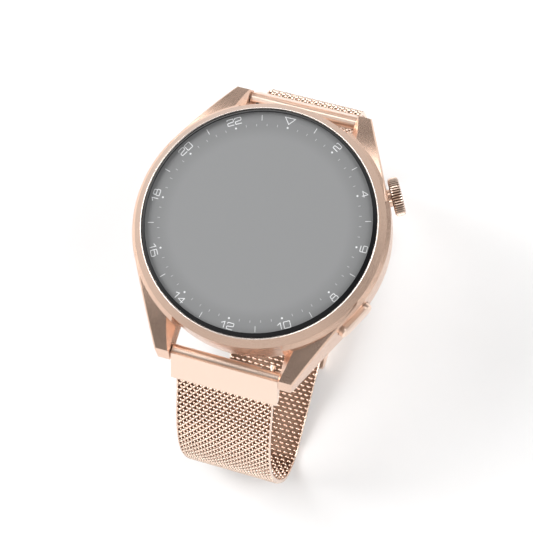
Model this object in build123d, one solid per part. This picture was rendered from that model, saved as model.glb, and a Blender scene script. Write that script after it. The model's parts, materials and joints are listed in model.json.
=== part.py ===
from build123d import *
from math import cos, hypot, pi, radians, sin
import os

# Smartwatch standing face up on its closed mesh strap, in millimetres.
# Frame: +Z is the way the dial faces, +Y points to 12 o'clock, +X to 3 o'clock, Z = 0 is the
# surface it stands on, and X = Y = 0 is the dial's centre.

# ---------------------------------------------------------------- driving dimensions
DIAL_Z = 66.0                 # height of the dial's plane over the standing surface

CASE_RADIUS = 25.1            # widest part of the mid-case
CASE_TOP = -2.1               # heights in the head are counted from the dial's plane
CASE_BOTTOM = -12.0
CAVITY_RADIUS = 20.0
CAVITY_BOTTOM = -10.8
REBATE_RADIUS = 23.95         # seat of the bezel ring in the mid-case
REBATE_FLOOR = -3.45
SIDE_TOP = -2.9               # the mid-case's upright side runs between these heights
SIDE_BOTTOM = -8.8
UNDERSIDE_RADIUS = 23.2
THROUGH = 60.0                # length of cutters that go right through
CORNER_SHARE = 0.12           # corner radius of boxes inside the head, as a share of the short side

BEZEL_OUTER = 24.35
BEZEL_INNER = 22.72
BEZEL_BORE = 21.2
BEZEL_STEP = 0.3              # shadow groove under the bezel's rim
LIP_RADIUS = 0.14             # round, polished lip on the bezel's inner edge
LIP_HEIGHT = -0.08            # of the lip's centre
LIP_STEPS = 8
GLASS_LEDGE = -0.65
GLASS_RADIUS = 22.64
GLASS_FLAT_RADIUS = 21.96
GLASS_TOP = 0.76
GLASS_BOTTOM = -0.35
DISPLAY_RADIUS = 21.0
DISPLAY_TOP = -0.40
DISPLAY_BOTTOM = -1.6

LUG_WIDTH = 22.2              # gap between the two lugs of a pair
LUG_ANGLE = 27.0              # the lugs' outer sides are tangents of the case at this angle
LUG_OFFSET = 25.0
LUG_TIP_TOP = (27.5, -7.8)    # (distance from the centre line, height) of the tip's top edge
LUG_TIP_END = (28.5, -11.3)
LUG_FACET_START = 10.5
LUG_FACET_MIDDLE = (19.29, -4.10)  # the lugs' top facets bulge through this point
LUG_ROOT = 15.0
LUG_HEEL = 27.8               # distance of the lugs' lower tip edge
LUG_EDGE = 0.3                # bevel between a lug's top facet and its outer side
LUG_BEVEL_TIP = 0.2           # width of the inner bevel at the tip
LUG_BEVEL_ROOT = (1.8, 21.4, -4.8)
LUG_BEVEL_FOOT = 24.0
BEVEL_CUTTER = (24.0, 24.0, 6.0)
PORT_X = -22.5                # three microphone holes in the case's left side
PORT_RADIUS = 0.4
PORT_PITCH = 1.6
PORT_DROP = -8.0
GAP_WALL_RADIUS = 24.3        # case wall between the lugs

CROWN_ANGLE = 29.5            # 2 o'clock
SIDE_Z = -6.5                 # height of the crown's and the button's axes
CROWN_RADIUS = 3.8
CROWN_START = 25.65
CROWN_END = 27.75
CROWN_ROUND = 0.6             # rounding of both rims
CROWN_KNURLS = 44
STEM_RADIUS = 1.1
STEM_START = 16.6
STEM_END = 27.0
CROWN_RECESS = 0.8
KNURL_DEPTH = 0.3
TUBE_START = 20.15
TUBE_END = 25.7
THRUST_START = 19.3
THRUST_END = 19.8
SEAL_X = 23.0
SEAL_MINOR = 0.165
ENCODER_START = 16.3
ENCODER_END = 17.7
CROWN_SWITCH_X = 15.3
TUBE_OUTER = 1.7
RUNNING_GAP = 0.05            # radial clearance of every turning or sliding shaft

BUTTON_ANGLE = -LUG_ANGLE     # 4 o'clock, square to the lug's outer side
BUTTON_SHIFT = -0.97          # along the lug's side, from the tangent point
BUTTON_LENGTH = 8.2
BUTTON_HEIGHT = 3.4
BUTTON_BACK = 24.2
BUTTON_FRONT = 26.2
BUTTON_POCKET = 22.4
BUTTON_STEM_RADIUS = 0.8
BUTTON_STEM_START = 18.9
CLIP_START = 19.2
CLIP_END = 19.6
BUTTON_SWITCH_X = 17.7

BAR_Y = 26.45                 # spring bars' axes
BAR_HEIGHT = -10.5
LINK_WIDTH = 21.8
LINK_TUBE_RADIUS = 1.15
LINK_BORE_RADIUS = 0.75
LINK_PLATE_START = (0.95, 1.2)  # (outward, up) from the spring bar's axis
LINK_PLATE_END = (4.65, -5.3)
UPPER_SWING = 9.0             # the upper link hangs this much closer to the vertical
LINK_PLATE_THICKNESS = 1.6
PIN_RADIUS = 0.4
PIN_REACH = 1.3               # how far a pin stands in its lug
PIN_TRAVEL = 1.45
KNOB_X = 9.0
KNOB_TILT = 80.0              # the knob points towards the case
KNOB_WINDOW = 2.9
KNOB_POST_RADIUS = 0.28
KNOB_RADIUS = 0.6
KNOB_HEIGHT = 0.7
KNOB_MIDDLE = 1.75            # distance of the knob's middle from the spring bar's axis
LINK_GROOVE = 0.2             # line between the link's tube and its plate
PIN_SPRING_START = -4.0
PIN_SPRING_END = 4.0

BAND_WIDTH = 20.0
BAND_THICKNESS = 1.2
KNUCKLE_GAP = 0.1             # between the two halves of a bending place of the strap

FOLD_Y = 12.2                 # buckle's end bar, which the strap folds round
FOLD_Z = 3.25
FOLD_RADIUS = 1.95
FOLD_STUB = 10.7
BUCKLE_BAR_RADIUS = 0.95
BUCKLE_END = 20.9
BUCKLE_RAIL_X = 11.2
BUCKLE_RAIL_WIDTH = 1.3
BUCKLE_CROSS = 2.0
BUCKLE_HALF_HEIGHT = 1.1

# Strap mid-lines as (distance from the centre line, height over the standing surface).
LOWER_SIDE = [(30.41, 49.77), (32.0, 46.9), (35.0, 42.4), (38.4, 36.3), (40.9, 29.6),
              (42.05, 22.0), (41.8, 15.0)]
LOWER_BASE = [(41.8, 15.0), (40.7, 8.2), (38.0, 2.7), (34.0, 0.62), (29.6, 1.5), (25.0, 2.5),
              (20.5, 3.95), (15.5, 5.5), (9.0, 6.0), (0.0, 6.0), (-5.4, 5.45),
              (-8.4, FOLD_Z + FOLD_RADIUS + 0.02), (-FOLD_STUB + 0.03, FOLD_Z + FOLD_RADIUS)]
UPPER_SIDE = [(29.5, 49.12), (30.15, 48.4), (31.1, 47.4), (31.95, 45.9), (32.6, 43.5),
              (33.05, 39.5), (33.25, 33.0), (33.25, 24.0), (33.0, 15.0)]
UPPER_BASE = [(33.0, 15.0), (32.3, 8.6), (30.4, 3.2), (27.4, 0.75), (24.8, 1.6), (23.3, 2.75),
              (22.1, 3.2), (BUCKLE_END + 0.05, FOLD_Z)]

TAB_START = -14.0
TAB_END = 5.0
TAB_THICKNESS = 4.3
TAB_WIDTH = 20.6
TAB_FLOOR = 1.0
TAB_LID_SEAT = 3.5
TAB_LID_RIM = 0.8


# Rear cover, seals and what fills the cavity, heights again from the dial's plane.
COVER_RADIUS = 21.9
COVER_SEAT = -11.5
WINDOW_RADIUS = 12.6
CRYSTAL_RADIUS = 14.4
CRYSTAL_FLAT_RADIUS = 8.5
CRYSTAL_BOTTOM = -13.2
CRYSTAL_EDGE = -12.15
CRYSTAL_MIDDLE = (11.9, -12.85)  # point halfway along the dome
BEZEL_SEAL = (22.2, 22.9)
REAR_SEAL = (20.8, 21.4)
SEAL_DEPTH = 0.4
SEAL_PLAY = 0.05
SCREW_CIRCLE = 18.75
SCREW_RADIUS = 0.5
SCREW_HEAD_RADIUS = 0.95
SCREW_ANGLES = (70, 110, 250, 290)
SLOT_LENGTH = 1.3
SLOT_WIDTH = 0.3
BOSS_RADIUS = 1.6
FRAME_TOP = -2.8
FRAME_BOTTOM = -3.5
BOARD_TOP = -3.7
BOARD_BOTTOM = -4.5
PART_TOP = -4.6               # tall parts hang just under the board
PART_BOTTOM = -9.6
CHIPS = [((2, 2), (8, 8)), ((-7, 4), (5, 5)), ((9, -4), (4, 3)), ((-5, -6), (6, 4)), ((2, -8), (3, 3))]
CHIP_HEIGHT = 0.8
BATTERY_SIZE = (22, 20)
MOTOR_Y = 14.4
MOTOR_RADIUS = 3.9
MOTOR_HEIGHT = 2.8
SPEAKER_X = -15.2
SPEAKER_SIZE = (5.6, 13)
MICROPHONE_PLACE = (1, -16.6)
MICROPHONE_SIZE = (3.6, 2.6)
SENSOR_RADIUS = 11.8
SENSOR_CIRCLE = 4.6           # four detectors round one emitter
SENSOR_SIZE = (2.4, 2.4)
SENSOR_HEIGHT = 0.35
COIL_INNER = 8.4
BATTERY_TOP = -5.5
BATTERY_BOTTOM = -9.6
SENSOR_TOP = -9.9
SENSOR_BOTTOM = -10.4


# ---------------------------------------------------------------- helpers
def turned(profile):
    """Solid of revolution about the head's axis from (radius, height) points."""
    raised = [(r, DIAL_Z + h) for r, h in profile]
    return revolve(make_face(Plane.XZ * Polyline(*raised, close=True)), Axis.Z)


def disc(radius, top, bottom, inner=0.0):
    """Flat disc or ring between two heights of the head."""
    return turned([(inner, bottom), (radius, bottom), (radius, top), (inner, top)])


def turned_along_x(profile):
    """Solid of revolution about X from (distance, radius) points."""
    return revolve(make_face(Polyline(*profile, close=True)), Axis.X)


def rod(start, end, radius, inner=0.0):
    """Round rod or sleeve along X."""
    return turned_along_x([(start, inner), (end, inner), (end, radius), (start, radius)])


def on_side(angle, solid, shift=0.0):
    """Places a part made along X at one side of the case, at the height of the side controls."""
    return Pos(0, 0, DIAL_Z + SIDE_Z) * Rot(0, 0, angle) * Pos(0, shift, 0) * solid


def block(place, size, top, bottom):
    """Rounded box in the head: its centre, its plan size and the heights of its two faces."""
    plan = RectangleRounded(size[0], size[1], min(size) * CORNER_SHARE)
    return Pos(place[0], place[1], DIAL_Z + bottom) * extrude(plan, top - bottom)


def across(profile, width):
    """Extrudes a (distance, height) outline evenly to both sides of the centre line."""
    return extrude(make_face(Plane.YZ * Polyline(*profile, close=True)), width / 2, both=True)


def at_end(side, solid):
    """Strap parts are drawn at 12 o'clock with the knob at +X; the two ends are half a turn apart."""
    if side > 0:
        return mirror(solid, Plane.YZ)
    return mirror(solid, Plane.XZ)


def save(name, solid):
    export_step(solid, f"parts/{name}.step")


# ---------------------------------------------------------------- head
def lug_prism():
    """The four lugs and the block that joins them, before the round case is added."""
    tangent_x = LUG_OFFSET * cos(radians(LUG_ANGLE))
    tangent_y = LUG_OFFSET * sin(radians(LUG_ANGLE))
    reach = LUG_TIP_END[0]
    tip_x = (LUG_OFFSET - reach * sin(radians(LUG_ANGLE))) / cos(radians(LUG_ANGLE))
    corners = [(tangent_x, tangent_y), (tip_x, reach), (-tip_x, reach), (-tangent_x, tangent_y)]
    plan = corners + [(x, -y) for x, y in reversed(corners)]
    prism = Pos(0, 0, DIAL_Z + CASE_BOTTOM) * extrude(
        make_face(Polyline(*plan, close=True)), CASE_TOP - CASE_BOTTOM)
    lugs = prism & lug_side_view()
    for side in (1, -1):
        lugs -= Pos(0, side * reach, DIAL_Z) * Box(LUG_WIDTH, 2 * (reach - LUG_ROOT), THROUGH)
    lugs = chamfer(lugs.edges().filter_by(is_outer_facet_edge), LUG_EDGE)
    for cutter in inner_bevels():
        lugs -= cutter
    return lugs


def lug_side_view():
    """The lugs' side outline, with their bulging top facets, as a slab across the whole case."""
    edges = [Line((-LUG_FACET_START, DIAL_Z + CASE_TOP), (LUG_FACET_START, DIAL_Z + CASE_TOP))]
    for side in (1, -1):
        root, middle, tip, end, heel = [
            (side * y, DIAL_Z + height) for y, height in (
                (LUG_FACET_START, CASE_TOP), LUG_FACET_MIDDLE, LUG_TIP_TOP, LUG_TIP_END,
                (LUG_HEEL, CASE_BOTTOM))]
        edges += [ThreePointArc(root, middle, tip), Line(tip, end), Line(end, heel)]
    edges.append(Line((-LUG_HEEL, DIAL_Z + CASE_BOTTOM), (LUG_HEEL, DIAL_Z + CASE_BOTTOM)))
    return extrude(Plane.YZ * make_face(edges), 2 * CASE_RADIUS, both=True)


def is_outer_facet_edge(edge):
    """The long edges between the lugs' sloping top faces and their outer sides."""
    run = edge.position_at(1) - edge.position_at(0)
    return abs(run.Y) > 5 and abs(run.Z) > 2 and abs(run.X) > 2


def inner_bevels():
    """Blocks that bevel the lugs' inner top edges, wider at the root than at the tip."""
    half = LUG_WIDTH / 2
    tip = Vector(half + LUG_BEVEL_TIP, LUG_TIP_TOP[0], LUG_TIP_TOP[1])
    root = Vector(half + LUG_BEVEL_ROOT[0], LUG_BEVEL_ROOT[1], LUG_BEVEL_ROOT[2])
    below = Vector(half, LUG_BEVEL_FOOT, LUG_TIP_TOP[1])
    facing = (root - tip).cross(below - tip)
    if facing.Z < 0:
        facing = -facing
    plane = Plane(origin=tip + Vector(0, 0, DIAL_Z), z_dir=facing)
    first = plane * Pos(0, 0, BEVEL_CUTTER[2] / 2) * Box(*BEVEL_CUTTER)
    pair = [first, mirror(first, Plane.YZ)]
    return pair + [mirror(cutter, Plane.XZ) for cutter in pair]


def case_body():
    ring = turned([
        (GAP_WALL_RADIUS, CASE_TOP), (CASE_RADIUS, SIDE_TOP), (CASE_RADIUS, SIDE_BOTTOM),
        (UNDERSIDE_RADIUS, CASE_BOTTOM), (0, CASE_BOTTOM), (0, CASE_TOP)])
    body = ring + lug_prism()
    gap_wall = disc(GAP_WALL_RADIUS, CASE_TOP, CASE_BOTTOM)
    for side in (1, -1):
        gap = Pos(0, side * CASE_RADIUS, DIAL_Z + SIDE_Z) * Box(LUG_WIDTH, CASE_RADIUS, CASE_RADIUS)
        body -= gap - gap_wall
    body -= disc(REBATE_RADIUS, CASE_TOP + 1, REBATE_FLOOR)
    body -= disc(CAVITY_RADIUS, CASE_TOP + 1, CASE_BOTTOM - 1)
    body -= disc(COVER_RADIUS + 0.05, CAVITY_BOTTOM, CASE_BOTTOM - 1)
    body -= disc(BEZEL_SEAL[1], REBATE_FLOOR + 0.1, REBATE_FLOOR - SEAL_DEPTH, BEZEL_SEAL[0])
    body -= disc(REAR_SEAL[1], CAVITY_BOTTOM + SEAL_DEPTH, CAVITY_BOTTOM - 0.1, REAR_SEAL[0])
    for x, y in screw_places():
        boss = Pos(x, y, DIAL_Z + (BOARD_BOTTOM + CAVITY_BOTTOM) / 2) * Cylinder(
            BOSS_RADIUS, BOARD_BOTTOM - CAVITY_BOTTOM)
        body += boss & disc(CAVITY_RADIUS + 1, 0, CASE_BOTTOM)
        body -= Pos(x, y, DIAL_Z + (BOARD_BOTTOM + CAVITY_BOTTOM) / 2) * Cylinder(SCREW_RADIUS, 8)
    body -= on_side(CROWN_ANGLE, rod(CAVITY_RADIUS - 2, CASE_RADIUS + 1, TUBE_OUTER + 0.01))
    body -= on_side(BUTTON_ANGLE, button_hollow(), BUTTON_SHIFT)
    for port in (-PORT_PITCH, 0, PORT_PITCH):
        depth = 2 * (CASE_RADIUS + PORT_X) + 1
        body -= Pos(PORT_X, port, DIAL_Z + PORT_DROP) * Rot(0, 90, 0) * Cylinder(PORT_RADIUS, depth)
    for side in (1, -1):
        depth = LUG_WIDTH / 2 + PIN_REACH + 0.2
        hole = Pos(0, side * BAR_Y, DIAL_Z + BAR_HEIGHT) * rod(-depth, depth, PIN_RADIUS + RUNNING_GAP)
        body -= hole
    return body


def bezel_ring():
    """Brushed cone with a round inner lip, a skirt in the mid-case and a ledge for the glass."""
    lip = []
    for step in range(LIP_STEPS + 1):
        angle = pi * step / LIP_STEPS
        lip.append((BEZEL_INNER + LIP_RADIUS * (1 + cos(angle)), LIP_HEIGHT + LIP_RADIUS * sin(angle)))
    return turned([
        (BEZEL_BORE, REBATE_FLOOR), (REBATE_RADIUS - 0.02, REBATE_FLOOR), (REBATE_RADIUS - 0.02, CASE_TOP),
        (BEZEL_OUTER - BEZEL_STEP, CASE_TOP + 0.02), (BEZEL_OUTER - BEZEL_STEP, CASE_TOP + 0.22),
        (BEZEL_OUTER, CASE_TOP + 0.26), (BEZEL_OUTER, CASE_TOP + 0.36), *lip,
        (BEZEL_INNER, GLASS_LEDGE), (BEZEL_BORE, GLASS_LEDGE)])


def cover_glass():
    return turned([
        (0, GLASS_BOTTOM), (GLASS_RADIUS, GLASS_BOTTOM), (GLASS_RADIUS, -0.02),
        (GLASS_FLAT_RADIUS, GLASS_TOP), (0, GLASS_TOP)])


def screw_places():
    """Four screws on a circle, clear of the crown and the side button."""
    return [(SCREW_CIRCLE * cos(radians(a)), SCREW_CIRCLE * sin(radians(a))) for a in SCREW_ANGLES]


def rear_cover():
    cover = disc(COVER_RADIUS, CAVITY_BOTTOM, CASE_BOTTOM)
    cover -= disc(WINDOW_RADIUS, CAVITY_BOTTOM + 1, CASE_BOTTOM - 1)
    cover -= disc(CRYSTAL_RADIUS + 0.02, COVER_SEAT, CASE_BOTTOM - 1)
    for x, y in screw_places():
        cover -= Pos(x, y, DIAL_Z + CASE_BOTTOM) * Cylinder(SCREW_RADIUS + 0.05, 6)
        cover -= Pos(x, y, DIAL_Z + CASE_BOTTOM) * Cylinder(SCREW_HEAD_RADIUS + 0.1, 1.0)
    return cover


def rear_crystal():
    """Domed sensor window with a flat middle that rests on a charging stand."""
    seat = (CRYSTAL_RADIUS, DIAL_Z + COVER_SEAT)
    edge = (CRYSTAL_RADIUS, DIAL_Z + CRYSTAL_EDGE)
    middle = (CRYSTAL_MIDDLE[0], DIAL_Z + CRYSTAL_MIDDLE[1])
    flat_edge = (CRYSTAL_FLAT_RADIUS, DIAL_Z + CRYSTAL_BOTTOM)
    rim = Line(seat, edge)
    dome = ThreePointArc(edge, middle, flat_edge)
    flat = Polyline(flat_edge, (0, flat_edge[1]), (0, seat[1]), seat)
    return revolve(make_face(Plane.XZ * (rim + dome + flat)), Axis.Z)


def fasteners(face, seat, end):
    """Four small slotted screws as separate solids, from head face to seat to the shank's end."""
    screws = []
    for x, y in screw_places():
        head = Pos(x, y, DIAL_Z + (face + seat) / 2) * Cylinder(SCREW_HEAD_RADIUS, abs(face - seat))
        shank = Pos(x, y, DIAL_Z + (seat + end) / 2) * Cylinder(SCREW_RADIUS - 0.01, abs(end - seat))
        slot = Pos(x, y, DIAL_Z + face) * Box(SLOT_LENGTH, SLOT_WIDTH, SLOT_WIDTH)
        screws.append(head + shank - slot)
    return Compound(screws)


def gasket(groove, top):
    """Flat seal in a groove, given as the groove's two radii."""
    return disc(groove[1] - SEAL_PLAY, top, top - SEAL_DEPTH, groove[0] + SEAL_PLAY)


def display_panel():
    return disc(DISPLAY_RADIUS, DISPLAY_TOP, DISPLAY_BOTTOM)


def inner_frame():
    """Metal carrier between the display and the board, with openings over the tall parts."""
    plate = disc(CAVITY_RADIUS - 0.2, FRAME_TOP, FRAME_BOTTOM)
    collar = disc(CAVITY_RADIUS - 0.2, DISPLAY_BOTTOM - 0.1, FRAME_BOTTOM, CAVITY_RADIUS - 1.2)
    for side in (1, -1):
        plate -= block((0, side * 9), (16, 7), 0, CASE_BOTTOM)
    frame = plate + collar
    for x, y in screw_places():
        frame -= Pos(x, y, DIAL_Z + FRAME_BOTTOM) * Cylinder(SCREW_HEAD_RADIUS + 0.15, 2)
    return frame


def main_board():
    board = disc(CAVITY_RADIUS - 0.3, BOARD_TOP, BOARD_BOTTOM)
    for x, y in screw_places():
        board -= Pos(x, y, DIAL_Z + BOARD_TOP) * Cylinder(SCREW_RADIUS + 0.1, 3)
    return board


def board_components():
    """Processor, memory, power and radio packages on the underside of the board."""
    return Compound([block(place, size, BOARD_BOTTOM, BOARD_BOTTOM - CHIP_HEIGHT) for place, size in CHIPS])


def battery():
    return block((0.5, 0), BATTERY_SIZE, BATTERY_TOP, BATTERY_BOTTOM)


def vibration_motor():
    """Coin motor with its connector tab."""
    coin = Pos(0, MOTOR_Y, DIAL_Z + PART_TOP - MOTOR_HEIGHT / 2) * Cylinder(MOTOR_RADIUS, MOTOR_HEIGHT)
    return coin + block((4.6, 14.2), (3.0, 1.6), PART_TOP, PART_TOP - CHIP_HEIGHT)


def speaker():
    return block((SPEAKER_X, 0), SPEAKER_SIZE, PART_TOP, PART_BOTTOM)


def microphone():
    return block(MICROPHONE_PLACE, MICROPHONE_SIZE, PART_TOP, PART_TOP - 1.1)


def sensor_board():
    """Round board of the optical sensors, with one emitter and four detectors on its face."""
    board = disc(SENSOR_RADIUS, SENSOR_TOP, SENSOR_BOTTOM)
    around = [radians(angle) for angle in (45, 135, 225, 315)]
    for place in [(0, 0)] + [(SENSOR_CIRCLE * cos(a), SENSOR_CIRCLE * sin(a)) for a in around]:
        board += block(place, SENSOR_SIZE, SENSOR_BOTTOM, SENSOR_BOTTOM - SENSOR_HEIGHT)
    return board


def charging_coil():
    return disc(SENSOR_RADIUS, SENSOR_BOTTOM - 0.05, SENSOR_BOTTOM - 0.55, COIL_INNER)


def save_head():
    save("case_body", case_body())
    save("bezel_ring", bezel_ring())
    save("bezel_gasket", gasket(BEZEL_SEAL, REBATE_FLOOR))
    save("cover_glass", cover_glass())
    save("glass_gasket", disc(GLASS_RADIUS - 0.1, GLASS_BOTTOM, GLASS_BOTTOM - 0.3, BEZEL_BORE + 0.1))
    save("display_panel", display_panel())
    save("inner_frame", inner_frame())
    save("main_board", main_board())
    save("board_components", board_components())
    save("board_screws", fasteners(BOARD_TOP + 0.6, BOARD_TOP, BOARD_BOTTOM - 1.2))
    save("battery", battery())
    save("vibration_motor", vibration_motor())
    save("speaker", speaker())
    save("microphone", microphone())
    save("sensor_board", sensor_board())
    save("charging_coil", charging_coil())
    save("rear_cover", rear_cover())
    save("rear_gasket", gasket(REAR_SEAL, CAVITY_BOTTOM + SEAL_DEPTH))
    save("rear_screws", fasteners(CASE_BOTTOM, CASE_BOTTOM + 0.45, CAVITY_BOTTOM + 2.2))
    save("rear_crystal", rear_crystal())


# ---------------------------------------------------------------- crown, along X from the case's axis
def crown_cap():
    """Knurled cap: a star outline along the axis, rounded at both rims."""
    star = []
    for step in range(2 * CROWN_KNURLS):
        angle = pi * step / CROWN_KNURLS
        radius = CROWN_RADIUS if step % 2 == 0 else CROWN_RADIUS - KNURL_DEPTH
        star.append((radius * cos(angle), radius * sin(angle)))
    length = CROWN_END - CROWN_START
    knurled = Pos(CROWN_START, 0, 0) * Rot(0, 90, 0) * extrude(make_face(Polyline(*star, close=True)), length)
    rim = CROWN_ROUND
    side = rim * (1 - sin(radians(45)))
    envelope = turned_along_x([
        (CROWN_START, 0), (CROWN_START, CROWN_RADIUS - rim), (CROWN_START + side, CROWN_RADIUS - side),
        (CROWN_START + rim, CROWN_RADIUS), (CROWN_END - rim, CROWN_RADIUS),
        (CROWN_END - side, CROWN_RADIUS - side), (CROWN_END, CROWN_RADIUS - rim), (CROWN_END, 0)])
    cap = knurled & envelope
    cap -= rod(CROWN_START - 0.1, CROWN_START + CROWN_RECESS, TUBE_OUTER + 0.2)
    cap -= rod(CROWN_START, STEM_END, STEM_RADIUS)
    return on_side(CROWN_ANGLE, cap)


def crown_stem():
    """Shaft with a groove for the seal and a groove for the thrust ring."""
    neck = STEM_RADIUS - 0.35
    seal_start = SEAL_X - SEAL_MINOR
    seal_end = SEAL_X + SEAL_MINOR
    return on_side(CROWN_ANGLE, turned_along_x([
        (STEM_START, 0), (STEM_START, STEM_RADIUS), (THRUST_START - 0.05, STEM_RADIUS),
        (THRUST_START - 0.05, neck), (THRUST_END + 0.05, neck), (THRUST_END + 0.05, STEM_RADIUS),
        (seal_start, STEM_RADIUS), (seal_start, neck), (seal_end, neck), (seal_end, STEM_RADIUS),
        (STEM_END, STEM_RADIUS), (STEM_END, 0)]))


def save_crown():
    neck = STEM_RADIUS - 0.35
    save("crown_cap", crown_cap())
    save("crown_stem", crown_stem())
    seal = Pos(SEAL_X, 0, 0) * Rot(0, 90, 0) * Torus(neck + SEAL_MINOR, SEAL_MINOR)
    save("crown_seal", on_side(CROWN_ANGLE, seal))
    ring = rod(THRUST_START, THRUST_END, 1.65, neck + RUNNING_GAP)
    save("crown_thrust_ring", on_side(CROWN_ANGLE, ring))
    save("crown_tube", on_side(CROWN_ANGLE, rod(TUBE_START, TUBE_END, TUBE_OUTER, STEM_RADIUS + RUNNING_GAP)))
    save("crown_spring", on_side(CROWN_ANGLE, rod(ENCODER_END, THRUST_START, 1.5, STEM_RADIUS + 0.1)))
    encoder = Pos((ENCODER_START + ENCODER_END) / 2, 0, 0) * Box(ENCODER_END - ENCODER_START, 4.4, 3.3)
    encoder -= rod(ENCODER_START - 1, ENCODER_END + 1, STEM_RADIUS + RUNNING_GAP)
    save("crown_encoder", on_side(CROWN_ANGLE, encoder))
    switch = Pos(CROWN_SWITCH_X, 0, 0) * Box(0.8, 3.0, 2.2)
    save("crown_switch", on_side(CROWN_ANGLE, switch))


# ---------------------------------------------------------------- side button, along X from the case's axis
def bar_outline(length, height, start, end):
    """Bar with round ends that lies along the case's side."""
    return Pos(start, 0, 0) * extrude(Plane.YZ * SlotOverall(length, height), end - start)


def button_hollow():
    pocket = bar_outline(BUTTON_LENGTH + 0.3, BUTTON_HEIGHT + 0.3, BUTTON_POCKET, CASE_RADIUS + 2)
    return pocket + rod(CAVITY_RADIUS - 2, BUTTON_POCKET + 0.5, BUTTON_STEM_RADIUS + RUNNING_GAP)


def side_button():
    """Bar with a bevelled front."""
    bar = bar_outline(BUTTON_LENGTH, BUTTON_HEIGHT, BUTTON_BACK, BUTTON_FRONT)
    front = bar.faces().sort_by(Axis.X)[-1]
    bar = chamfer(front.edges(), 0.35)
    bar -= rod(BUTTON_BACK - 1, BUTTON_BACK + 0.8, BUTTON_STEM_RADIUS)
    return on_side(BUTTON_ANGLE, bar, BUTTON_SHIFT)


def button_stem():
    neck = BUTTON_STEM_RADIUS - 0.25
    stem = turned_along_x([
        (BUTTON_STEM_START, 0), (BUTTON_STEM_START, BUTTON_STEM_RADIUS),
        (CLIP_START, BUTTON_STEM_RADIUS), (CLIP_START, neck), (CLIP_END, neck),
        (CLIP_END, BUTTON_STEM_RADIUS), (BUTTON_BACK + 0.8, BUTTON_STEM_RADIUS), (BUTTON_BACK + 0.8, 0)])
    return on_side(BUTTON_ANGLE, stem, BUTTON_SHIFT)


def save_button():
    neck = BUTTON_STEM_RADIUS - 0.25
    save("side_button", side_button())
    save("button_stem", button_stem())
    save("button_clip", on_side(BUTTON_ANGLE, rod(CLIP_START, CLIP_END, 1.5, neck), BUTTON_SHIFT))
    spring = rod(BUTTON_POCKET, BUTTON_BACK, 1.35, BUTTON_STEM_RADIUS + 0.1)
    save("button_spring", on_side(BUTTON_ANGLE, spring, BUTTON_SHIFT))
    switch = Pos(BUTTON_SWITCH_X, 0, 0) * Box(1.4, 4.0, 2.6)
    save("button_switch", on_side(BUTTON_ANGLE, switch, BUTTON_SHIFT))


# ---------------------------------------------------------------- end links and spring bars
def end_link():
    """Flat plate with the tube for the spring bar, drawn about the bar's axis."""
    half = LINK_WIDTH / 2
    (start_y, start_z), (end_y, end_z) = LINK_PLATE_START, LINK_PLATE_END
    inward = plate_inward()
    outline = [LINK_PLATE_START, LINK_PLATE_END,
               (end_y + inward[0], end_z + inward[1]), (start_y + inward[0], start_z + inward[1])]
    link = across(outline, LINK_WIDTH) + rod(-half, half, LINK_TUBE_RADIUS)
    link -= Pos(0, start_y - 0.12, start_z + 0.05) * Rot(40, 0, 0) * Box(LINK_WIDTH + 1, LINK_GROOVE, 0.5)
    link -= rod(-half - 1, half + 1, LINK_BORE_RADIUS)
    window = Box(KNOB_WINDOW, 1.3, 1.4)
    return link - over_knob(KNOB_X - PIN_TRAVEL / 2) * Pos(0, 0, LINK_TUBE_RADIUS) * window


def plate_inward():
    """Step from the plate's outer face to its inner face, as (outward, up)."""
    (start_y, start_z), (end_y, end_z) = LINK_PLATE_START, LINK_PLATE_END
    scale = LINK_PLATE_THICKNESS / hypot(end_y - start_y, end_z - start_z)
    return ((end_z - start_z) * scale, -(end_y - start_y) * scale)


def over_knob(x):
    """Place on the spring bar's axis from which the knob stands up towards the case."""
    return Pos(x, 0, 0) * Rot(KNOB_TILT, 0, 0)


def spring_bar_parts():
    """Barrel, fixed pin, spring, sliding pin and knob on one spring bar's axis."""
    half = LINK_WIDTH / 2
    tip = LUG_WIDTH / 2 + PIN_REACH
    barrel = rod(-half + 0.5, half - 0.5, LINK_BORE_RADIUS - 0.03, PIN_RADIUS + 0.08)
    barrel -= over_knob(KNOB_X - PIN_TRAVEL / 2) * Pos(0, 0, 0.6) * Box(KNOB_WINDOW, 1.0, 1.2)
    post = over_knob(KNOB_X) * Pos(0, 0, 0.95) * Cylinder(KNOB_POST_RADIUS, 1.3)
    cap = over_knob(KNOB_X) * Pos(0, 0, KNOB_MIDDLE) * Cylinder(KNOB_RADIUS, KNOB_HEIGHT)
    return {
        "spring_bar": barrel,
        "fixed_pin": rod(-tip, PIN_SPRING_START, PIN_RADIUS),
        "bar_spring": rod(PIN_SPRING_START, PIN_SPRING_END, PIN_RADIUS, 0.2),
        "release_pin": rod(PIN_SPRING_END, tip, PIN_RADIUS) - post,
        "release_knob": post + cap,
    }


def save_strap_end(end, side, swing):
    """End link and spring bar of one strap half, swung about the bar towards the wrist."""
    axis = Pos(0, BAR_Y, DIAL_Z + BAR_HEIGHT) * Rot(-swing, 0, 0)
    save(f"{end}_end_link", at_end(side, axis * end_link()))
    for name, solid in spring_bar_parts().items():
        save(f"{end}_{name}", at_end(side, axis * solid))


# ---------------------------------------------------------------- strap
def band(middle_line):
    """Strap solid of even thickness along a smooth mid-line, drawn at the 12 o'clock end."""
    middle = Spline(*middle_line)
    steps = 2 * (len(middle_line) - 1)
    outer = []
    inner = []
    for step in range(steps + 1):
        place = middle @ (step / steps)
        slope = middle % (step / steps)
        across_band = Vector(slope.Y, -slope.X) * (BAND_THICKNESS / 2)
        outer.append(place + across_band)
        inner.append(place - across_band)
    edges = [Spline(*outer), Line(outer[-1], inner[-1]), Spline(*reversed(inner)), Line(inner[0], outer[0])]
    return extrude(Plane.YZ * make_face(edges), BAND_WIDTH / 2, both=True)


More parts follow.
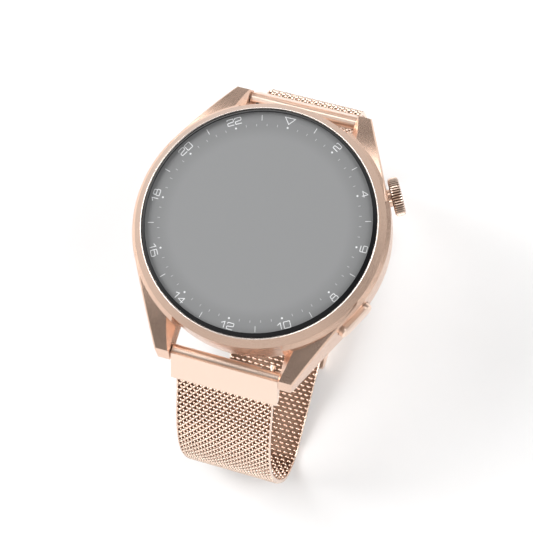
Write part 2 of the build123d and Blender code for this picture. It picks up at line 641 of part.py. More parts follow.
def knuckle(place, radius):
    """Round end of a strap part, along the line that it bends about."""
    return Pos(0, place[0], place[1]) * rod(-BAND_WIDTH / 2, BAND_WIDTH / 2, radius)


def save_strap(end, side, side_line, base_line):
    """The two mesh parts of one strap half, which bend where they meet."""
    pivot = side_line[-1]
    side_part = band(side_line) + knuckle(pivot, BAND_THICKNESS / 2)
    base_part = band(base_line) - knuckle(pivot, BAND_THICKNESS / 2 + KNUCKLE_GAP)
    save(f"{end}_side_band", at_end(side, side_part))
    save(f"{end}_base_band", at_end(side, base_part))


def band_fold():
    """Where the lower half turns back round the buckle's bar."""
    outer = FOLD_RADIUS + BAND_THICKNESS / 2
    inner = FOLD_RADIUS - BAND_THICKNESS / 2
    centre = Pos(0, FOLD_Y, FOLD_Z)
    turn = rod(-BAND_WIDTH / 2, BAND_WIDTH / 2, outer, inner)
    turn &= Pos(0, outer, 0) * Box(2 * BAND_WIDTH, 2 * outer, 4 * outer)
    stub = FOLD_Y - FOLD_STUB
    for height in (FOLD_RADIUS, -FOLD_RADIUS):
        turn += Pos(0, -stub / 2, height) * Box(BAND_WIDTH, stub, BAND_THICKNESS)
    peel = knuckle((FOLD_STUB, FOLD_Z - FOLD_RADIUS), BAND_THICKNESS / 2 + KNUCKLE_GAP)
    return centre * turn - peel


def band_tail():
    """Single layer between the fold and the magnet tab."""
    pivot = (FOLD_STUB, FOLD_Z - FOLD_RADIUS)
    length = FOLD_STUB - TAB_END
    strip = Pos(0, TAB_END + length / 2, pivot[1]) * Box(BAND_WIDTH, length, BAND_THICKNESS)
    return strip + knuckle(pivot, BAND_THICKNESS / 2)


# ---------------------------------------------------------------- closure
def tab_shell():
    """Magnet tab: a flat outer face to stand on, bevelled ends and a pocket for the magnets."""
    low = FOLD_Z - FOLD_RADIUS - BAND_THICKNESS / 2
    shell = across([
        (TAB_START + 1.2, 0), (TAB_END - 0.8, 0), (TAB_END, low - 0.1), (TAB_END, low + BAND_THICKNESS + 0.2),
        (TAB_END - 1.8, TAB_THICKNESS), (TAB_START + 2.4, TAB_THICKNESS), (TAB_START, 2.6),
        (TAB_START, 1.2)], TAB_WIDTH)
    shell = fillet(shell.edges().filter_by(Axis.Z), 0.5)
    return shell - tab_hollow(TAB_LID_RIM, TAB_LID_SEAT, TAB_THICKNESS) - tab_hollow(
        TAB_LID_RIM + 0.9, TAB_FLOOR, TAB_LID_SEAT)


def tab_hollow(rim, bottom, top, play=0.0):
    """Rounded block inside the tab, a rim's width from the ends of its upper face."""
    start = TAB_START + 2.4 + rim + play
    end = TAB_END - 1.8 - rim - play
    plan = RectangleRounded(TAB_WIDTH - 2 * rim - 2 * play, end - start, 1.0)
    return Pos(0, (start + end) / 2, bottom) * extrude(plan, top - bottom)


def tab_magnets():
    """Four bar magnets side by side in the pocket."""
    start = TAB_START + 2.4 + TAB_LID_RIM + 1.0
    end = TAB_END - 1.8 - TAB_LID_RIM - 1.0
    pitch = (end - start) / 4
    magnets = []
    for index in range(4):
        middle = Pos(0, start + pitch * (index + 0.5), (TAB_FLOOR + TAB_LID_SEAT) / 2)
        magnets.append(middle * Box(TAB_WIDTH - 6, pitch - 0.2, TAB_LID_SEAT - TAB_FLOOR - 0.1))
    return Compound(magnets)


def buckle_frame():
    """Flat ring on the upper half: a round end bar, two rails and the bar that the mesh is welded to."""
    start = FOLD_Y - BUCKLE_BAR_RADIUS
    length = BUCKLE_END - start
    inside = BUCKLE_RAIL_X - BUCKLE_RAIL_WIDTH / 2
    height = 2 * BUCKLE_HALF_HEIGHT
    plan = RectangleRounded(2 * BUCKLE_RAIL_X + BUCKLE_RAIL_WIDTH, length, 0.8)
    frame = Pos(0, start + length / 2, FOLD_Z - BUCKLE_HALF_HEIGHT) * extrude(plan, height)
    frame -= Pos(0, start - BUCKLE_CROSS + length / 2, FOLD_Z) * Box(2 * inside, length, height + 1)
    return frame + Pos(0, FOLD_Y, FOLD_Z) * rod(-BUCKLE_RAIL_X, BUCKLE_RAIL_X, BUCKLE_BAR_RADIUS)


def save_closure():
    save("band_fold", band_fold())
    save("band_tail", band_tail())
    save("tab_shell", tab_shell())
    save("tab_magnets", tab_magnets())
    save("tab_lid", tab_hollow(TAB_LID_RIM, TAB_LID_SEAT, TAB_THICKNESS, 0.05))
    save("buckle_frame", buckle_frame())


os.makedirs("parts", exist_ok=True)
save_head()
save_crown()
save_button()
save_strap_end("upper", 1, UPPER_SWING)
save_strap_end("lower", -1, 0)
save_strap("upper", 1, UPPER_SIDE, UPPER_BASE)
save_strap("lower", -1, LOWER_SIDE, LOWER_BASE)
save_closure()
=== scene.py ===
import json
import math

import bpy
import numpy as np
from mathutils import Matrix, Vector


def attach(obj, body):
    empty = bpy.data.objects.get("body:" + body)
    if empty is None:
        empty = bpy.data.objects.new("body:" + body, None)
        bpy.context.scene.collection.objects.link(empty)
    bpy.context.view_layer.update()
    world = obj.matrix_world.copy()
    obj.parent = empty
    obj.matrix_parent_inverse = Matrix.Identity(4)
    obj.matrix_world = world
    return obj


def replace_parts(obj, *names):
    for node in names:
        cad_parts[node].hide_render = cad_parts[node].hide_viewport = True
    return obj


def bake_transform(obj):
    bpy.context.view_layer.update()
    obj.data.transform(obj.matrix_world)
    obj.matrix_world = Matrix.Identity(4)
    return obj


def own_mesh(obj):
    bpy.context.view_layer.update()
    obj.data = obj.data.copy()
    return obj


# Looks of the smartwatch. Everything is in metres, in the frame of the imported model: +Z is the
# way the dial faces, +Y points to 12 o'clock and Z = 0 is the surface that the watch stands on.

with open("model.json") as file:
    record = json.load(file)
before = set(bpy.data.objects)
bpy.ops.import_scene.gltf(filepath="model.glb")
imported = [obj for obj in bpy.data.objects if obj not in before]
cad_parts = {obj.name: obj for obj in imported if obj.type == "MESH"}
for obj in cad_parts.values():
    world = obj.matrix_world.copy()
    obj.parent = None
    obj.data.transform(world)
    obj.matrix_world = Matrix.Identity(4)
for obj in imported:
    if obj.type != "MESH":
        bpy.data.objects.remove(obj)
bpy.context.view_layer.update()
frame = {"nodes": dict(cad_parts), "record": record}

MM = 0.001

# ---------------------------------------------------------------- driving values
DIAL_HEIGHT = 66.0 * MM

CAMERA_PLACE = Vector((0.0693, -0.0764, 0.3948))
CAMERA_AIM = Vector((0.00406, -0.00806, DIAL_HEIGHT))
CAMERA_ROLL = math.radians(17.03)
CAMERA_LENS = 122.1

GLASS_FLAT_RADIUS = 21.96 * MM      # the glass is flat to here and bevelled beyond
GLASS_BEVEL_RADIUS = 22.64 * MM
GLASS_FLAT_HEIGHT = DIAL_HEIGHT + 0.76 * MM
GLASS_BEVEL_HEIGHT = DIAL_HEIGHT - 0.02 * MM
PICTURE_HEIGHT = DIAL_HEIGHT - 0.34 * MM    # top of the screen picture
PRINT_HEIGHT = DIAL_HEIGHT - 0.30 * MM      # bottom of the printed scale
LAYER = 0.02 * MM                   # thickness of the picture and of the print
PICTURE_HOLE = 0.05 * MM            # radius of the pinhole at the picture's centre
PICTURE_MARGIN = 0.2 * MM           # the picture runs this far past the flat of the glass
TURNED_STEPS = 256                  # steps round a turned ring

SCALE_OUTER = 21.50 * MM            # the odd hours' ticks run between these radii
SCALE_INNER = 20.36 * MM
DOT_CIRCLE = 19.45 * MM
DOT_RADIUS = 0.19 * MM
DOT_SIDES = 20
SMALL_TICK_LENGTH = 0.46 * MM
STROKE = 0.155 * MM                 # width of the numerals' strokes
HOUR_TICK_WIDTH = STROKE * 0.75
SMALL_TICK_WIDTH = STROKE * 0.7
LEAST_COSINE = 0.5                  # keeps the outer side of a stroke's sharp turn from running away
TINY = 1e-9                         # a shorter length has no direction
RAISED = 1.2                        # thickness of every other printed shape, in layers
NUMERAL_OUTER = 21.60 * MM          # the numerals stand between these radii
NUMERAL_INNER = 20.18 * MM
DIGIT_WIDTH = 1.38 * MM
DIGIT_GAP = 0.30 * MM
DIGIT_SPAN = {"1": 0.86}            # share of a digit's width that it takes
CORNER = 0.16 * MM                  # rounding of the digits' strokes
CORNER_STEPS = 4
TRIANGLE_SPREAD = 2.75              # degrees from 12 o'clock to its outer corners
RING_START = 16.5 * MM              # the screen picture darkens between these radii
RING_END = 19.8 * MM
BORDER_LIFT = 0.012 * MM            # the printed border reaches this far out of the glass
BORDER_SINK = 0.05 * MM             # and this far into it

BAND_WIDTH = 20.0 * MM
ROW_PITCH = 0.97 * MM               # rows of the weave, along the band
TURNS = 14                          # turns of each row's wire across the band
WIRE_RADIUS = 0.29 * MM
REACH = -0.05 * MM                  # half of a turn's length along the band; the minus sets its winding
DEPTH = 0.31 * MM                   # half of a turn's height through the band
SHADE_SHEET_DEPTH = 0.05 * MM              # half the thickness of the dark sheet inside the weave, painted shade between its wires
TURN_STEPS = 10
WIRE_SIDES = 6
EDGE_WIDTH = 0.32 * MM              # soldered edge of the band
EDGE_DEPTH = 0.38 * MM              # half of the edge's height through the band
EDGE_STEPS = 3                      # along each row
EDGE_SIDES = 12
EDGE_SQUARENESS = 0.6               # power that squares the edge's round section
EDGE_SWELL = 0.05                   # share by which the edge swells at every row
WIRE_END = 0.6                      # the wires end this share of the edge's width in from the side
SHADE_SHEET_SIDES = 4
SPARE_ROWS = 2                      # rows past each end of a flex that belong to its piece

CROWN_ANGLE = math.radians(29.5)    # of the crown's axis from +X
CROWN_KNURLS = 44
CROWN_FACE_RADIUS = 3.25 * MM       # smooth end face, inside the grooves
GROOVE_FULL = -0.7                  # cosine of the knurls' phase below which the painted shade in the grooves is darkest
GROOVE_EDGE = 0.5                   # and above which no shade is painted on the metal

SPRING_WIRE = 0.11 * MM             # radius of the spring bars' spring wire
SPRING_TURNS = 14

FOLD_CENTRE = (12.2, 3.25)          # end bar of the buckle, in millimetres like the lines below
FOLD_RADIUS = 1.95
FOLD_POINTS = 120
TAIL_END = 4.6
LINE_STEP = 0.02                    # spacing of the points on the strap's mid-lines

# Strap mid-lines as (distance from the centre line, height), from the end link down and inwards.
LOWER_LINE = [
    (30.41, 49.77), (32.0, 46.9), (35.0, 42.4), (38.4, 36.3), (40.9, 29.6), (42.05, 22.0),
    (41.8, 15.0), (40.7, 8.2), (38.0, 2.7), (34.0, 0.62), (29.6, 1.5), (25.0, 2.5), (20.5, 3.95),
    (15.5, 5.5), (9.0, 6.0), (0.0, 6.0), (-5.4, 5.45), (-8.4, 5.22), (-10.67, 5.2)]
UPPER_LINE = [
    (29.5, 49.12), (30.15, 48.4), (31.1, 47.4), (31.95, 45.9), (32.6, 43.5), (33.05, 39.5),
    (33.25, 33.0), (33.25, 24.0), (33.0, 15.0), (32.3, 8.6), (30.4, 3.2), (27.4, 0.75),
    (24.8, 1.6), (23.3, 2.75), (22.1, 3.2), (20.3, 3.25)]
LOWER_FLEX = (-41.8, 15.0)          # where each half of the strap bends in the frame
UPPER_FLEX = (33.0, 15.0)
FLEX_REACH = 5.0

SATIN = (0.78, 0.55, 0.43)          # mid-case and lugs
PALE_ROSE = (0.90, 0.70, 0.58)      # end links, mesh and controls
SHADED_BEZEL_ROSE = (0.55, 0.39, 0.305)        # brushed cone of the bezel: the rose gold darkened as painted shade
LIP_HIGHLIGHT = (0.97, 0.87, 0.80)            # painted highlight: the polished lip round the glass coloured near white
GROOVE_SHADE = (0.22, 0.14, 0.10)         # painted shade in the bottoms of the crown's grooves
LIP_RADIUS = 22.99 * MM
DIAL_MIDDLE = (0.245, 0.245, 0.245)
DIAL_RING = (0.21, 0.21, 0.21)

NOISE_LOW = 0.3                     # most noise values lie between these
NOISE_HIGH = 0.7
GRAIN_SHARE = 0.6                   # of a surface's variation; the slow cloud makes the rest
CLOUD_SIZE = 6 * MM
GLOSS_SPREAD = 0.15                 # share by which the grain varies a surface's roughness
ROUND_CHANGE = 9.0                  # how fast turned grain changes round the head

FLOOR_REACH = 1.0                   # half of the floor's side
SKY_LEVELS = [                      # (how far up the direction points, grey level)
    (0.0, 1.2), (0.07, 1.1), (0.32, 0.4), (0.75, 0.2), (1.0, 0.25)]
DIM_SIDE = (0.78, 0.62, 0.0)        # the surroundings are dimmer this way
DIM_START = 0.1                     # how far that way a direction points when the dimming starts
DIM_END = 0.7
DIM_LEVEL = 0.35
LIGHT_AIM = Vector((0, 0, 0.04))
LIGHT_UP = Vector((0, 0.01, 1))
SOFTBOXES = [                       # (name, place, size, power in watts)
    ("left_softbox", (-0.85, 0.0, 0.95), (0.8, 1.0), 13.0),
    ("back_softbox", (-0.1, 0.85, 0.95), (0.8, 0.45), 3.0),
    ("right_softbox", (0.95, 0.0, 0.9), (0.7, 1.1), 10.0),
    ("front_softbox", (0.75, -0.8, 0.8), (0.8, 0.4), 3.5)]


# ---------------------------------------------------------------- mesh helpers
def node_box(name):
    """Lowest and highest corner of a CAD node's box."""
    node = frame["nodes"][name]
    corners = np.array([node.matrix_world @ Vector(corner) for corner in node.bound_box])
    return corners.min(axis=0), corners.max(axis=0)


def new_piece(name, vertices, faces, material, body=None, smooth=True):
    mesh = bpy.data.meshes.new(name)
    mesh.from_pydata([tuple(v) for v in vertices], [], [tuple(f) for f in faces])
    mesh.update()
    if smooth:
        mesh.polygons.foreach_set("use_smooth", [True] * len(mesh.polygons))
    mesh.materials.append(material)
    piece = bpy.data.objects.new(name, mesh)
    bpy.context.scene.collection.objects.link(piece)
    if body:
        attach(piece, body)
    return piece


def turned(profile):
    """Vertices and faces of a closed ring turned about Z from (radius, height) points."""
    count = len(profile)
    vertices = []
    faces = []
    for step in range(TURNED_STEPS):
        angle = 2 * math.pi * step / TURNED_STEPS
        following = (step + 1) % TURNED_STEPS
        for index, (radius, height) in enumerate(profile):
            vertices.append((radius * math.cos(angle), radius * math.sin(angle), height))
            after = (index + 1) % count
            faces.append((step * count + index, following * count + index,
                          following * count + after, step * count + after))
    return vertices, faces


# ---------------------------------------------------------------- shader helpers
def add(tree, kind, settings=None, **inputs):
    """New shader node with its settings and the values of its named sockets."""
    node = tree.nodes.new(kind)
    for key, value in (settings or {}).items():
        setattr(node, key, value)
    for key, value in inputs.items():
        node.inputs[key.replace("_", " ")].default_value = value
    return node


def vector_step(tree, operation, first, second=None, scale=None):
    node = add(tree, "ShaderNodeVectorMath", {"operation": operation})
    tree.links.new(first, node.inputs[0])
    if isinstance(second, tuple):
        node.inputs[1].default_value = second
    elif second is not None:
        tree.links.new(second, node.inputs[1])
    if scale is not None:
        node.inputs["Scale"].default_value = scale
    return node.outputs["Value" if operation in ("LENGTH", "DOT_PRODUCT") else "Vector"]


def number_step(tree, operation, first, second=None):
    node = add(tree, "ShaderNodeMath", {"operation": operation})
    for socket, value in zip(node.inputs, (first, second)):
        if isinstance(value, (int, float)):
            socket.default_value = value
        elif value is not None:
            tree.links.new(value, socket)
    return node.outputs[0]


def even_lay(tree, spacing):
    place = add(tree, "ShaderNodeTexCoord").outputs["Object"]
    return vector_step(tree, "SCALE", place, scale=1 / spacing)


def straight_lay(tree, spacing, stretch):
    return vector_step(tree, "MULTIPLY", even_lay(tree, spacing), stretch)


def round_lay(tree, spacing):
    """Grain that runs round the head's axis, as a turning tool leaves it."""
    place = add(tree, "ShaderNodeTexCoord").outputs["Object"]
    flat = vector_step(tree, "MULTIPLY", place, (1.0, 1.0, 0.0))
    parts = add(tree, "ShaderNodeSeparateXYZ")
    tree.links.new(place, parts.inputs[0])
    across = number_step(tree, "SUBTRACT", vector_step(tree, "LENGTH", flat), parts.outputs["Z"])
    lift = add(tree, "ShaderNodeCombineXYZ")
    tree.links.new(number_step(tree, "MULTIPLY", across, 1 / spacing), lift.inputs["Z"])
    round_part = vector_step(tree, "SCALE", vector_step(tree, "NORMALIZE", flat), scale=ROUND_CHANGE)
    return vector_step(tree, "ADD", round_part, lift.outputs[0])


def spread(tree, value, low, high):
    """Maps a noise value to a range."""
    node = add(tree, "ShaderNodeMapRange", None,
               From_Min=NOISE_LOW, From_Max=NOISE_HIGH, To_Min=low, To_Max=high)
    tree.links.new(value, node.inputs["Value"])
    return node.outputs[0]


def tint(tree, value, dark, light):
    """Mix of two colours, each given as a tuple or as another node's output."""
    node = add(tree, "ShaderNodeMix", {"data_type": "RGBA"})
    tree.links.new(value, node.inputs["Factor"])
    for socket, colour in zip((node.inputs[6], node.inputs[7]), (dark, light)):
        if isinstance(colour, tuple):
            socket.default_value = (*colour, 1.0)
        else:
            tree.links.new(colour, socket)
    return node.outputs[2]


def shade(colour, factor):
    return tuple(min(1.0, c * factor) for c in colour)


def grained(name, colour, roughness, lay, relief, metallic=1.0, contrast=0.06, **sockets):
    """Surface whose colour and gloss follow one fine grain and a slow cloud.

    The grain also gives it a relief, in metres."""
    material = bpy.data.materials.new(name)
    material.use_nodes = True
    tree = material.node_tree
    shader = tree.nodes["Principled BSDF"]
    shader.inputs["Metallic"].default_value = metallic
    for key, value in sockets.items():
        shader.inputs[key.replace("_", " ")].default_value = value
    grain = add(tree, "ShaderNodeTexNoise", None, Scale=1.0, Detail=3.0, Roughness=0.6)
    tree.links.new(lay(tree), grain.inputs["Vector"])
    cloud = add(tree, "ShaderNodeTexNoise", None, Scale=1.0, Detail=2.0)
    tree.links.new(even_lay(tree, CLOUD_SIZE), cloud.inputs["Vector"])
    both = number_step(tree, "MULTIPLY_ADD", grain.outputs["Fac"], GRAIN_SHARE)
    cloud_share = number_step(tree, "MULTIPLY", cloud.outputs["Fac"], 1 - GRAIN_SHARE)
    tree.links.new(cloud_share, both.node.inputs[2])
    colours = tint(tree, both, shade(colour, 1 - contrast), shade(colour, 1 + contrast))
    tree.links.new(colours, shader.inputs["Base Color"])
    gloss = spread(tree, both, roughness * (1 - GLOSS_SPREAD), roughness * (1 + GLOSS_SPREAD))
    tree.links.new(gloss, shader.inputs["Roughness"])
    bump = add(tree, "ShaderNodeBump", None, Strength=0.6, Distance=relief)
    tree.links.new(grain.outputs["Fac"], bump.inputs["Height"])
    tree.links.new(bump.outputs[0], shader.inputs["Normal"])
    return material


def fine(spacing):
    return lambda tree: even_lay(tree, spacing)


def straight(spacing, stretch=(0.03, 1.0, 1.0)):
    return lambda tree: straight_lay(tree, spacing, stretch)


def round_about(spacing):
    return lambda tree: round_lay(tree, spacing)


def clear_glass():
    """Clear cover: what is behind shows through, and the surface mirrors by Fresnel."""
    material = bpy.data.materials.new("clear_glass")
    material.use_nodes = True
    tree = material.node_tree
    tree.nodes.remove(tree.nodes["Principled BSDF"])
    through = add(tree, "ShaderNodeBsdfTransparent", None, Color=(0.97, 0.975, 0.98, 1.0))
    mirror = add(tree, "ShaderNodeBsdfGlossy", None, Color=(1.0, 1.0, 1.0, 1.0))
    smear = add(tree, "ShaderNodeTexNoise", None, Scale=1.0, Detail=2.0)
    tree.links.new(even_lay(tree, 8 * MM), smear.inputs["Vector"])
    tree.links.new(spread(tree, smear.outputs["Fac"], 0.01, 0.05), mirror.inputs["Roughness"])
    fresnel = add(tree, "ShaderNodeFresnel", None, IOR=1.5)
    inside = add(tree, "ShaderNodeNewGeometry").outputs["Backfacing"]
    front = number_step(tree, "SUBTRACT", 1.0, inside)
    mix = add(tree, "ShaderNodeMixShader")
    tree.links.new(number_step(tree, "MULTIPLY", fresnel.outputs[0], front), mix.inputs["Fac"])
    tree.links.new(through.outputs[0], mix.inputs[1])
    tree.links.new(mirror.outputs[0], mix.inputs[2])
    tree.links.new(mix.outputs[0], tree.nodes["Material Output"].inputs["Surface"])
    return material


def bezel_metal():
    """Brushed cone with a near-white lip on its inner edge, a painted highlight of the polished lip."""
    # the cone's darkened rose gold is painted shade
    material = grained("bezel", SHADED_BEZEL_ROSE, 0.26, round_about(0.05 * MM), 4e-6, contrast=0.08, Anisotropic=0.4)
    tree = material.node_tree
    shader = tree.nodes["Principled BSDF"]
    brushed = shader.inputs["Base Color"].links[0].from_socket
    place = add(tree, "ShaderNodeTexCoord").outputs["Object"]
    radius = vector_step(tree, "LENGTH", vector_step(tree, "MULTIPLY", place, (1.0, 1.0, 0.0)))
    # painted highlight: inside this radius the lip is coloured near white
    on_cone = number_step(tree, "GREATER_THAN", radius, LIP_RADIUS)
    tree.links.new(tint(tree, on_cone, LIP_HIGHLIGHT, brushed), shader.inputs["Base Color"])
    return material


def knurled_metal():
    """The crown's metal, with painted shade darkening the grooves round it."""
    material = grained("knurled", PALE_ROSE, 0.3, fine(0.08 * MM), 1e-6)
    tree = material.node_tree
    shader = tree.nodes["Principled BSDF"]
    polished = shader.inputs["Base Color"].links[0].from_socket
    low, high = node_box("crown_cap")
    place = add(tree, "ShaderNodeTexCoord").outputs["Object"]
    aside = (-math.sin(CROWN_ANGLE), math.cos(CROWN_ANGLE), 0.0)
    across = vector_step(tree, "DOT_PRODUCT", place, aside)
    parts = add(tree, "ShaderNodeSeparateXYZ")
    tree.links.new(place, parts.inputs[0])
    up = number_step(tree, "SUBTRACT", parts.outputs["Z"], (low[2] + high[2]) / 2)
    turn = number_step(tree, "ARCTAN2", across, up)
    ridge = number_step(tree, "COSINE", number_step(tree, "MULTIPLY", turn, CROWN_KNURLS))
    shade_amount = add(tree, "ShaderNodeMapRange", None,
                From_Min=GROOVE_FULL, From_Max=GROOVE_EDGE, To_Min=1.0, To_Max=0.0)
    tree.links.new(ridge, shade_amount.inputs["Value"])
    section = add(tree, "ShaderNodeCombineXYZ")
    tree.links.new(across, section.inputs["X"])
    tree.links.new(up, section.inputs["Y"])
    radius = vector_step(tree, "LENGTH", section.outputs[0])
    on_rim = number_step(tree, "GREATER_THAN", radius, CROWN_FACE_RADIUS)
    # painted shade: the metal darkens towards the bottom of each of the grooves on the rim
    groove_shade = number_step(tree, "MULTIPLY", shade_amount.outputs[0], on_rim)
    tree.links.new(tint(tree, groove_shade, polished, GROOVE_SHADE), shader.inputs["Base Color"])
    return material


materials = {
    "bezel": bezel_metal(),
    "case": grained("case", SATIN, 0.27, fine(0.05 * MM), 2e-6),
    "polished_controls": grained("polished_controls", PALE_ROSE, 0.3, fine(0.08 * MM), 1e-6),
    "links": grained("links", PALE_ROSE, 0.33, straight(0.05 * MM, (1.0, 0.04, 0.04)), 2e-6),
    "mesh": grained("mesh", PALE_ROSE, 0.24, fine(0.12 * MM), 2e-6, contrast=0.1),
    "clear_glass": clear_glass(),
    "display": grained("display", (0.285, 0.285, 0.287), 0.5, fine(0.6 * MM), 1e-6, 0.0, 0.015),
    "rear_ceramic": grained("rear_ceramic", (0.02, 0.02, 0.022), 0.08, fine(0.2 * MM), 5e-7, 0.0),
    "seal": grained("seal", (0.025, 0.025, 0.025), 0.7, fine(0.08 * MM), 4e-6, 0.0, 0.15),
    "bare_steel": grained("bare_steel", (0.6, 0.6, 0.61), 0.25, straight(0.06 * MM), 2e-6),
    "spring_steel": grained("spring_steel", (0.5, 0.5, 0.52), 0.3, fine(0.06 * MM), 2e-6),
    "circuit_board": grained("circuit_board", (0.015, 0.09, 0.045), 0.4, fine(0.3 * MM), 3e-6, 0.0, 0.2),
    "packages": grained("packages", (0.03, 0.03, 0.033), 0.55, fine(0.08 * MM), 3e-6, 0.0, 0.15),
    "cell": grained("cell", (0.5, 0.51, 0.53), 0.38, fine(0.5 * MM), 8e-6),
    "winding": grained("winding", (0.72, 0.36, 0.18), 0.3, round_about(0.2 * MM), 8e-6, contrast=0.15),
    "carrier": grained("carrier", (0.62, 0.63, 0.65), 0.35, straight(0.08 * MM), 3e-6),
    "magnet": grained("magnet", (0.66, 0.66, 0.67), 0.15, fine(0.3 * MM), 1e-6),
}
# dark brown sheet inside the weave: painted shade seen through the gaps between the wires
shade_sheet_material = grained("mesh_shade_sheet", (0.2, 0.125, 0.09), 0.5, fine(0.2 * MM), 2e-6, contrast=0.15)
border_material = grained("border_print", (0.005, 0.005, 0.006), 0.1, fine(0.4 * MM), 4e-7, 0.0, 0.2,
                          Specular_IOR_Level=0.16)
print_material = grained("scale_print", (0.80, 0.80, 0.80), 0.5, fine(0.1 * MM), 1e-6, 0.0, 0.03)
faint_material = grained("faint_print", (0.52, 0.52, 0.52), 0.5, fine(0.1 * MM), 1e-6, 0.0, 0.03)


def paint_cad_nodes():
    for part in frame["record"]["subparts"]:
        node = frame["nodes"][part["node"]]
        node.data.materials.clear()
        node.data.materials.append(materials[part["material_slot"]])
    frame["nodes"]["crown_cap"].data.materials[0] = knurled_metal()


# ---------------------------------------------------------------- dial
def rounded(points, radius, closed=False):
    """Polyline with its corners rounded."""
    count = len(points)
    made = []
    for index, corner in enumerate(points):
        if radius == 0 or (not closed and index in (0, count - 1)):
            made.append(Vector(corner))
            continue
        here = Vector(corner)
        before = Vector(points[index - 1]) - here
        after = Vector(points[(index + 1) % count]) - here
        cut = min(radius, before.length * 0.5, after.length * 0.5)
        start = here + before.normalized() * cut
        end = here + after.normalized() * cut
        for step in range(CORNER_STEPS + 1):
            t = step / CORNER_STEPS
            made.append(start * (1 - t) ** 2 + here * (2 * t * (1 - t)) + end * t ** 2)
    return made


def ribbon(points, closed, width):
    """Left and right sides of a stroke of even width along a polyline."""
    count = len(points)
    sides = []
    for index, point in enumerate(points):
        before = points[index - 1] if closed or index > 0 else point
        after = points[(index + 1) % count] if closed or index < count - 1 else point
        first = (point - before).normalized() if (point - before).length > TINY else None
        second = (after - point).normalized() if (after - point).length > TINY else None
        first = first or second
        second = second or first
        mean = (first + second).normalized()
        widen = 1 / max(LEAST_COSINE, mean.dot(first))
        normal = Vector((-mean.y, mean.x)) * (width / 2 * widen)
        sides.append((point + normal, point - normal))
    return sides


class Print:
    """Collects flat printed shapes and makes one thin solid mesh of them."""

    def __init__(self):
        self.vertices = []
        self.faces = []
        self.raised = False         # alternates, so that two overlapping tops don't coincide

    def prism(self, outline, fill):
        """Thin solid on a closed outline, with the faces that fill it."""
        base = len(self.vertices)
        count = len(outline)
        self.raised = not self.raised
        thickness = LAYER * (RAISED if self.raised else 1.0)
        for height in (PRINT_HEIGHT, PRINT_HEIGHT + thickness):
            self.vertices.extend((p.x, p.y, height) for p in outline)
        for face in fill:
            self.faces.append(tuple(base + i for i in reversed(face)))
            self.faces.append(tuple(base + count + i for i in face))

    def wall(self, first, second, count):
        """Side wall between two outline points of the last prism."""
        base = len(self.vertices) - 2 * count
        self.faces.append((base + first, base + second, base + count + second, base + count + first))

    def stroke(self, points, closed=False, width=STROKE):
        sides = ribbon(points, closed, width)
        outline = [p for pair in sides for p in pair]
        count = len(sides)
        spans = count if closed else count - 1
        quads = [(2 * i, 2 * i + 1, 2 * ((i + 1) % count) + 1, 2 * ((i + 1) % count)) for i in range(spans)]
        self.prism(outline, quads)
        for left, right, far_right, far_left in quads:
            self.wall(far_left, left, len(outline))
            self.wall(right, far_right, len(outline))
        if not closed:
            self.wall(0, 1, len(outline))
            self.wall(2 * count - 1, 2 * count - 2, len(outline))

    def dot(self, centre, radius):
        angles = [2 * math.pi * i / DOT_SIDES for i in range(DOT_SIDES)]
        outline = [centre + Vector((math.cos(a), math.sin(a))) * radius for a in angles]
        self.prism(outline, [tuple(range(DOT_SIDES))])
        for step in range(DOT_SIDES):
            self.wall(step, (step + 1) % DOT_SIDES, DOT_SIDES)


DIGITS = {                          # strokes in a cell 1 wide and 1 high, with whether they close
    "0": [([(0, 0), (1, 0), (1, 1), (0, 1)], True)],
    "1": [([(0.1, 0.74), (0.62, 1), (0.62, 0)], False)],
    "2": [([(0, 0.78), (0, 1), (1, 1), (1, 0.52), (0, 0.42), (0, 0), (1, 0)], False)],
    "4": [([(0.74, 0), (0.74, 1)], False), ([(0.74, 1), (0, 0.3), (1, 0.3)], False)],
    "6": [([(0, 0), (1, 0), (1, 0.6), (0, 0.6)], True), ([(0.92, 1), (0, 1), (0, 0.5)], False)],
    "8": [([(0, 0), (1, 0), (1, 0.53), (0, 0.53)], True),
          ([(0.1, 0.53), (0.1, 1), (0.9, 1), (0.9, 0.53)], False)],
}


def dial_point(clock_degrees, radius):
    angle = math.radians(clock_degrees)
    return Vector((math.sin(angle), math.cos(angle))) * radius


def numeral(ink, text, clock_degrees, tops_outward):
    """Number on the scale, its strokes' centre lines between the ring's edges."""
    height = NUMERAL_OUTER - NUMERAL_INNER - STROKE
    middle = dial_point(clock_degrees, (NUMERAL_OUTER + NUMERAL_INNER) / 2)
    up = dial_point(clock_degrees, 1.0) * (1 if tops_outward else -1)
    right = Vector((up.y, -up.x))
    widths = [DIGIT_WIDTH * DIGIT_SPAN.get(c, 1.0) - STROKE for c in text]
    across = -(sum(widths) + (len(text) - 1) * DIGIT_GAP) / 2
    for character, width in zip(text, widths):
        for outline, closed in DIGITS[character]:
            cell = [(x * width / DIGIT_SPAN.get(character, 1.0), y * height) for x, y in outline]
            sharp = character in "14"
            line = rounded(cell, 0.0 if sharp else CORNER, closed)
            ink.stroke([middle + right * (across + p.x) + up * (p.y - height / 2) for p in line], closed)
        across += width + DIGIT_GAP


def hour_scale():
    ink = Print()
    faint = Print()
    for hour in range(2, 24, 2):
        numeral(ink, str(hour), hour * 15, hour < 5 or hour > 17)
    corners = [dial_point(-TRIANGLE_SPREAD, SCALE_OUTER), dial_point(0, NUMERAL_INNER),
               dial_point(TRIANGLE_SPREAD, SCALE_OUTER)]
    ink.stroke(corners, closed=True)
    for hour in range(24):
        clock = hour * 15
        if hour % 2:
            ends = [dial_point(clock, SCALE_INNER), dial_point(clock, SCALE_OUTER)]
            ink.stroke(ends, width=HOUR_TICK_WIDTH)
        else:
            ink.dot(dial_point(clock, DOT_CIRCLE), DOT_RADIUS)
            for step in range(1, 5):
                ends = [dial_point(clock + 6 * step, DOT_CIRCLE + side * SMALL_TICK_LENGTH / 2)
                        for side in (-1, 1)]
                faint.stroke(ends, width=SMALL_TICK_WIDTH)
    return ink, faint


